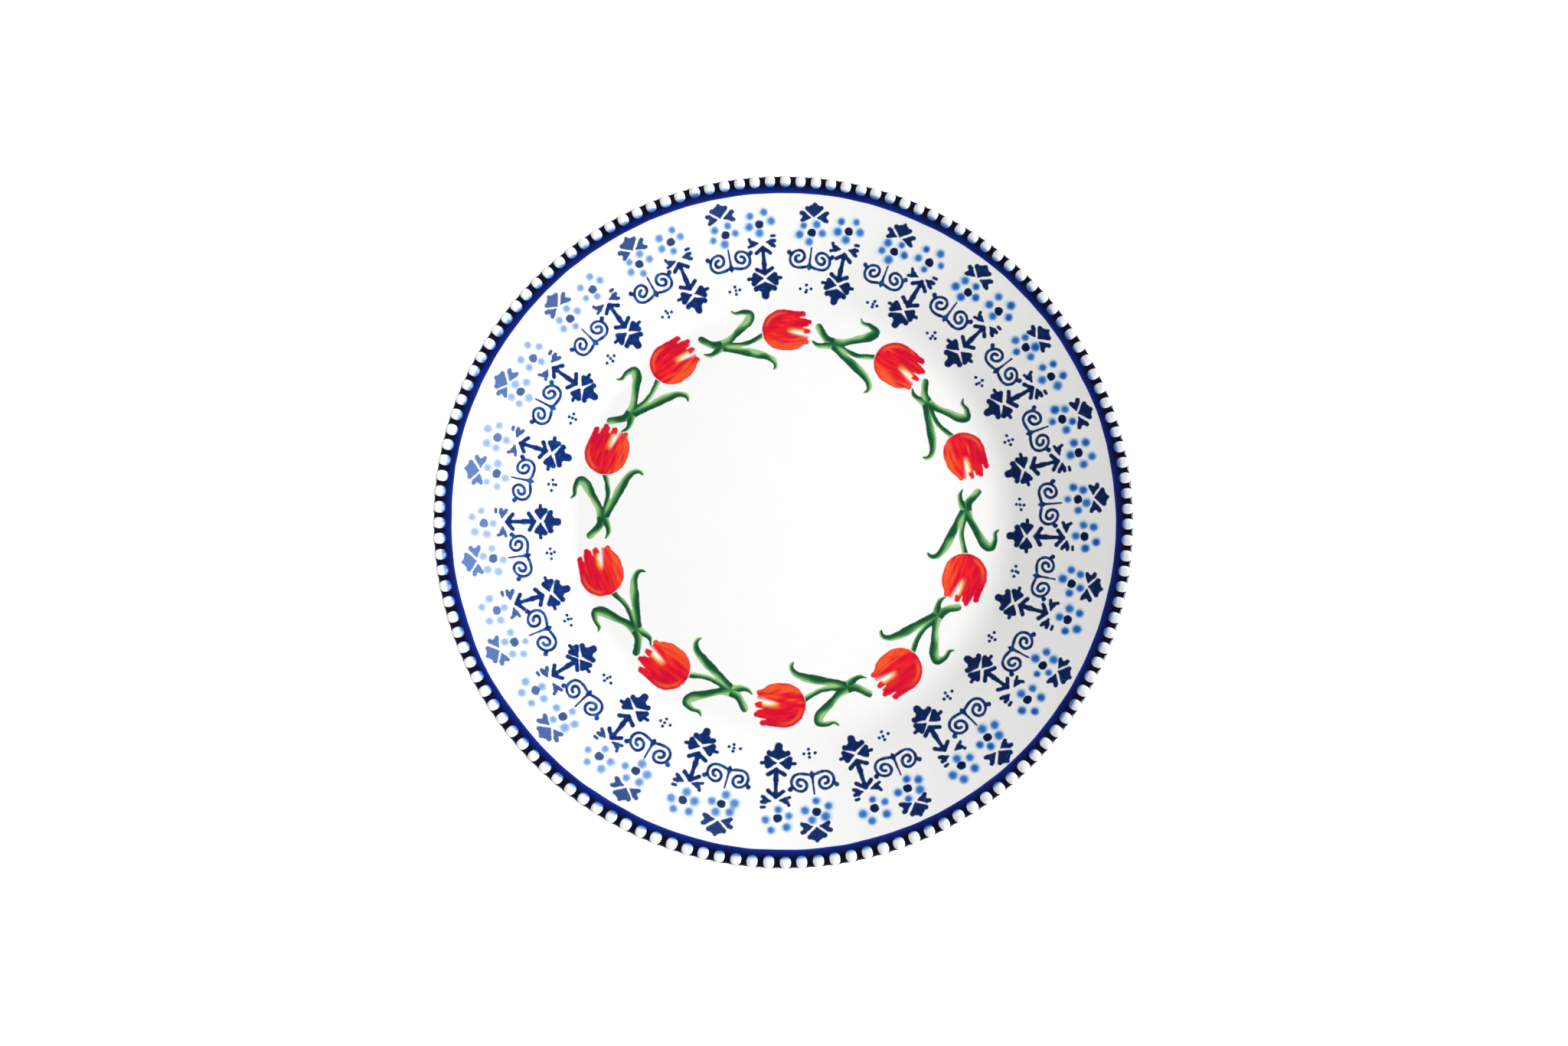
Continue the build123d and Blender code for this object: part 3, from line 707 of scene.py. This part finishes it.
coat = Coat()
cross = (body((0.9, 0.0), (2.9, 1.8), (4.5, 1.9), (5.0, 0.8), (6.3, 0.4), (5.2, -0.6), (5.0, -1.8),
              (3.3, -1.9))
         + strokes((0.9, 0.0, 0.2), (3.9, 1.5, 0.9)) + strokes((0.9, 0.0, 0.2), (6.2, 0.4, 0.6))
         + strokes((0.9, 0.0, 0.2), (4.3, -1.6, 1.0))
         + body((-1.0, 0.0), (-3.0, 1.8), (-4.7, 1.8), (-5.1, 0.7), (-6.6, 0.1), (-5.3, -0.7), (-5.2, -1.9),
                (-3.4, -2.0))
         + strokes((-1.0, 0.0, 0.2), (-4.1, 1.5, 0.85)) + strokes((-1.0, 0.0, 0.2), (-6.5, 0.0, 0.6))
         + strokes((-1.0, 0.0, 0.2), (-4.5, -1.7, 1.0))
         + body((0.0, -1.7), (3.5, -3.8), (1.6, -5.2), (-1.6, -5.2), (-3.6, -4.0))
         + strokes((0.0, -1.7, 0.3), (3.5, -3.8, 1.0)) + strokes((0.0, -1.7, 0.3), (-3.6, -4.0, 1.0))
         + strokes((0.0, -3.5, 1.6), (0.0, -6.8, 1.4)))
stamp(coat, cross, CROSS_IN, 0.0, (-8.4, -9.4, 8.0, 3.8), 6, bold=0.15)
finish_piece(coat.piece("cross_flower_marks"), paint_material, "navy", "cross_flowers")

# ------------------------------------------------------------------ scrolls
coat = Coat()


def scroll_lines():
    """Two mirrored spirals of an arc and shrinking half circles, two dashes, and a drop with its stem."""
    lines = []
    arc_steps, turn_steps, sweep = 8, 14, 10
    for side in (1, -1):
        points = []
        x0, y0 = side * 4.7, -0.7
        for q in range(arc_steps):
            a = math.radians(20) * (1 - q / arc_steps)
            points.append((x0 - side * sweep * math.sin(a), y0 + sweep * (1 - math.cos(a)), 0.42))
        at, heading = np.array([x0, y0]), side
        up = 1
        for radius in (3.4, 2.3, 1.3):
            middle = at + [0, up * radius]
            for q in range(turn_steps + 1):
                a = math.pi * q / turn_steps
                across, along = heading * radius * math.sin(a), -up * radius * math.cos(a)
                points.append((middle[0] + across, middle[1] + along, 0.36 + 0.07 * math.sin(a)))
            at = middle + [0, up * radius]
            heading, up = -heading, -up
        points.append((at[0] + heading * 0.1, at[1], 0.5))
        lines += strokes(*points)
        lines += strokes((side * 8.1, 4.4, 0.6), (side * 8.9, 5.2, 0.85))
    lines += body((0.0, -1.6), (1.4, 0.0), (0.0, 1.8), (-1.4, 0.0))
    lines += strokes((0.0, 1.0, 0.5), (0.0, 3.0, 0.34), (0.0, 7.6, 0.28))
    return lines


def line_paint(x, y, d, seed):
    n = ripple(x, y, 4.0, seed)
    return mix(linear(8, 40, 100), linear(26, 78, 150), ramp(n, -0.6, 1.2))


stamp(coat, scroll_lines(), SCROLL_IN, SIDE_SHARE, (-10.2, -2.0, 10.2, 9.0), 7, soft=0.35, step=0.2,
      colour=line_paint, wobble=0.05, bold=0.1)
finish_piece(coat.piece("scroll_lines"), paint_material, "navy", "scrolls")

coat = Coat()
for n, (dx, dy) in enumerate([(0.0, 1.5), (1.8, 0.0), (0.0, 0.0), (-2.4, -0.1), (-0.1, -1.4)]):
    dot = strokes((dx, dy, 0.68), (dx + 0.05, dy + 0.05, 0.62))
    box = (dx - 1.2, dy - 1.2, dx + 1.2, dy + 1.2)
    stamp(coat, dot, DIAMOND_IN, SIDE_SHARE, box, 20 + n, step=0.16, colour=line_paint, wobble=0.05,
          loose=0.6)
finish_piece(coat.piece("diamond_dots"), paint_material, "navy", "dot_diamonds")


# ------------------------------------------------------------------ tulips
def tulip_lean(n):
    """The tulip n's swing and scale, and the random stream that its other differences come from."""
    rng = np.random.default_rng(700 + n)
    return math.radians(rng.normal(0, 2.0)), 1.05 + rng.normal(0, 0.012), rng


def on_floor(x, y, n, swing, scale):
    """Plan place of points in the tulip n's drawing: +y out from the middle, +x clockwise."""
    turn = math.radians(TULIP_TURN + stray(TULIP_STRAY_TURN, n / TULIPS) + 360 * n / TULIPS)
    c, s = math.cos(swing), math.sin(swing)
    middle = TULIP_R + stray(TULIP_STRAY_OUT, n / TULIPS)
    u, v = (x * c - y * s) * scale, middle + (x * s + y * c) * scale
    return u * math.cos(turn) - v * math.sin(turn), u * math.sin(turn) + v * math.cos(turn)


HEAD = (strokes((-1.3, 0.0, 8.4), (0.9, -0.1, 8.2)) + strokes((1.0, 4.6, 3.8), (6.2, 6.6, 1.3))
        + strokes((1.0, 2.6, 3.8), (8.9, 3.6, 1.0)) + strokes((1.0, -2.8, 4.2), (8.0, -4.6, 1.0))
        + strokes((7.2, -0.2, 1.0), (8.8, -0.2, 0.8)) + strokes((4.0, -0.2, 2.2), (7.2, -0.2, 0.9)))
crimson, scarlet, orange = linear(206, 8, 50), linear(232, 32, 38), linear(242, 104, 44)
yellow, pink = linear(255, 214, 96), linear(244, 110, 116)


def tulip_colour(x, y, d, seed):
    """Petals brushed from the base to the tips, with light left between the front two."""
    spread = y / np.maximum(8.2 - 0.02 * (x + 2) ** 2, 2.0)
    flow = ripple(spread * 9, x * 0.22, 2.4, seed) * 0.6 + ripple(spread * 16, x * 0.3, 2.2, seed + 1) * 0.4
    c = mix(crimson, scarlet, ramp(flow + 0.1 - 0.6 * spread, -0.7, 0.7))
    warm = ramp(-spread + 0.35 * flow, 0.3, 1.0) * ramp(-d, 0, 1.0)
    c = mix(c, orange, warm * 0.7)
    c = mix(c, orange, ramp(flow, 0.7, 1.3) * 0.75 * (1 - ramp(x, 1, 6)))
    lift = np.exp(-((d + 1.5) / 0.6) ** 2) * ramp(-x, -2, 5) * ramp(y, 0, 3)
    c = mix(c, orange, lift * 0.65)
    line = y + 0.6 + 0.10 * x
    gap = np.exp(-(line / (0.2 + 0.11 * np.maximum(x, 0))) ** 2) * ramp(x, -0.5, 4.5)
    c = mix(c, yellow, np.exp(-((line - 0.6) / 0.9) ** 2) * ramp(x, -0.5, 4) * (1 - ramp(x, 6.4, 7.4)))
    c = mix(c, WHITE, gap * (1 - ramp(x, 6.2, 7.0) * (y > -1.2)))
    tip = np.exp(-(((x - 8.1) / 1.5) ** 2 + ((y + 0.1) / 0.9) ** 2) ** 2)
    c = mix(c, scarlet, tip)
    base = np.exp(-((x + 9.4) / 0.8) ** 2 - ((y + 1.2) / 1.0) ** 2)
    c = mix(c, linear(120, 30, 20), base * 0.8)
    return mix(c, pink, ramp(d, -0.4, 0.1) * 0.35)


coat = Coat()
for n in range(TULIPS):
    swing, scale, rng = tulip_lean(n)
    notch = [(rng.uniform(8.0, 8.8), rng.uniform(1.2, 1.6), rng.uniform(0.4, 0.7)),
             (rng.uniform(8.4, 9.0), -1.6, rng.uniform(0.9, 1.2)), (7.2, 5.4, 0.5)]

    def distance(x, y, n=n, notch=notch):
        d, _ = field(x, y, HEAD, 0.5)
        for nx, ny, nr in notch:
            cut, _ = field(x, y, strokes((nx - 1.8, ny, 0.1), (nx + 1.6, ny, nr)), 0)
            d = np.maximum(d, -cut)
        return d + 0.09 * ripple(x, y, 3.0, 300 + n) - BLEED

    x, y, tris = fill(-10.6, -9.4, 10.6, 9.6, 0.26, distance)
    d = distance(x, y) + BLEED
    px, py = on_floor(x, y, n, swing, scale)
    coat.put(px, py, tris, BLEED - d, bleed(tulip_colour(x, y, d, 800 + 3 * n), d))
finish_piece(coat.piece("tulip_head_paint"), paint_material, "crimson", "tulip_heads")


def garland(*marks, pieces=6):
    """A smooth stroke through (way along the ring of tulips, way out from it, radius) marks."""
    placed = []
    for ring_way, out_way, radius in marks:
        turn = ring_way / TULIP_R
        reach = TULIP_R + out_way
        placed.append((-reach * math.sin(turn), reach * math.cos(turn) - TULIP_R, radius))
    return curve(*placed, pieces=pieces)


KNOT = (26.7, -2.9, 2.0)
STEM = garland((9.0, -1.7, 1.0), (16.3, -4.3, 0.85), (23.3, -3.7, 1.0), KNOT)
LEAF_OUT = garland(KNOT, (22.6, -1.2, 1.2), (18.3, 1.6, 1.35), (14.4, 4.6, 1.65), (13.4, 7.2, 1.3),
                   (16.0, 8.5, 0.8), (18.6, 8.3, 0.5), (19.9, 9.6, 0.2))
LEAF_IN = garland(KNOT, (22.0, -6.0, 1.3), (14.2, -8.8, 1.6), (8.0, -10.9, 1.15), (5.2, -13.0, 0.8),
                  (4.8, -14.8, 0.5), (5.8, -16.0, 0.2))
TAIL = garland(KNOT, (30.2, -1.5, 1.35), (33.6, 2.3, 1.35), pieces=4)
HOOK = garland(KNOT, (30.0, -4.6, 1.05), (33.0, -4.9, 0.7), (35.2, -3.6, 0.25), pieces=4)
GREEN = STEM + LEAF_OUT + LEAF_IN + TAIL + HOOK
leaf_dark, leaf_mid, leaf_light = linear(20, 78, 48), linear(62, 132, 76), linear(150, 190, 126)

coat = Coat()
for n in range(TULIPS):
    swing, scale, _ = tulip_lean(n)

    def distance(x, y, n=n):
        d, _ = field(x, y, GREEN, 0.5)
        head, _ = field(x, y, HEAD, 0.5)
        d = np.maximum(d, 0.1 - head)
        return d + 0.1 * ripple(x, y, 3.4, 500 + n) - BLEED

    x, y, tris = fill(-38, -19, -1, 13, 0.26, distance)
    d = distance(x, y) + BLEED
    _, side = field(x, y, GREEN, 0)
    tone = side + 0.45 * ripple(x, y, 9.0, 600 + n)
    c = mix(leaf_dark, leaf_mid, ramp(tone, -0.3, 0.35))
    c = mix(c, leaf_light, ramp(tone, 0.3, 0.85))
    px, py = on_floor(x, y, n, swing, scale)
    coat.put(px, py, tris, BLEED - d, bleed(c, d))
finish_piece(coat.piece("tulip_greenery_paint"), paint_material, "leaf_green", "tulip_greenery")

# ------------------------------------------------------------------ floor, light and camera
me = bpy.data.meshes.new("floor")
HALF = 6.0
me.from_pydata([(-HALF, -HALF, 0), (HALF, -HALF, 0), (HALF, HALF, 0), (-HALF, HALF, 0)], [], [(0, 1, 2, 3)])
floor = bpy.data.objects.new("floor", me)
bpy.context.scene.collection.objects.link(floor)
paper = ceramic("paper", (0.9, 0.9, 0.9), rough=0.9, speck=0.005, dimple=0.0, scale=20.0)
shader = paper.node_tree.nodes["Principled BSDF"]
shader.inputs["Specular IOR Level"].default_value = 0.0
shader.inputs["Emission Color"].default_value = (1, 1, 1, 1)
shader.inputs["Emission Strength"].default_value = 0.65
floor.data.materials.append(paper)

scene = bpy.context.scene
world = bpy.data.worlds.new("studio")
scene.world = world
world.use_nodes = True
sky = world.node_tree
back_light = sky.nodes["Background"]
back_light.inputs[0].default_value = (1.0, 1.0, 1.0, 1)
way = sky.nodes.new("ShaderNodeTexCoord")
parts = sky.nodes.new("ShaderNodeSeparateXYZ")
sky.links.new(way.outputs["Generated"], parts.inputs[0])


def by_height(from_min, from_max, to_min, to_max):
    """A value that goes smoothly from to_min to to_max as the view into the sky rises."""
    node = sky.nodes.new("ShaderNodeMapRange")
    node.interpolation_type = "SMOOTHSTEP"
    settings = {"From Min": from_min, "From Max": from_max, "To Min": to_min, "To Max": to_max}
    for name, value in settings.items():
        node.inputs[name].default_value = value
    sky.links.new(parts.outputs["Z"], node.inputs["Value"])
    return node


# Bright at middling heights, and dim overhead and near the horizon, so that low views keep their colours.
dimmer = by_height(0.35, 0.62, 2.6, 0.09)
low_sky = by_height(0.16, 0.36, 0.25, 1.0)
both = sky.nodes.new("ShaderNodeMath")
both.operation = "MULTIPLY"
sky.links.new(dimmer.outputs["Result"], both.inputs[0])
sky.links.new(low_sky.outputs["Result"], both.inputs[1])
sky.links.new(both.outputs[0], back_light.inputs[1])


def direction(tilt, azimuth):
    """The unit vector that leans by tilt from straight up, towards azimuth, both in degrees."""
    a, b = math.radians(azimuth), math.radians(tilt)
    return Vector((math.sin(b) * math.cos(a), math.sin(b) * math.sin(a), math.cos(b)))


def softbox(name, azimuth, tilt, distance, size, power):
    """A square light that points at the plate."""
    light = bpy.data.lights.new(name, "AREA")
    light.shape = "SQUARE"
    light.size = size
    light.energy = power
    ob = bpy.data.objects.new(name, light)
    ob.location = distance * direction(tilt, azimuth)
    ob.rotation_euler = (-Vector(ob.location)).to_track_quat("-Z", "Y").to_euler()
    bpy.context.scene.collection.objects.link(ob)


softbox("key", 0, 62, 1.6, 1.2, 40)

scene.view_settings.view_transform = "Standard"
scene.view_settings.look = "None"

camera_data = bpy.data.cameras.new("camera")
camera = bpy.data.objects.new("camera", camera_data)
scene.collection.objects.link(camera)
camera_data.sensor_width = 36.0
camera_data.lens = 27.36
camera_data.clip_start = 0.01
CAMERA_TILT, CAMERA_AZIMUTH, CAMERA_DISTANCE = 9.0, -97, 3.4 * R * MM
centre = Vector((0, 0, (RIM + 0.3) * MM))
camera.location = centre + CAMERA_DISTANCE * direction(CAMERA_TILT, CAMERA_AZIMUTH)
aim = centre + Vector((-0.0005, -0.0060, 0))
back = (camera.location - aim).normalized()
right = Vector((0, 1, 0)).cross(back).normalized()
up = back.cross(right)
camera.rotation_euler = Matrix((right, up, back)).transposed().to_euler()
scene.camera = camera
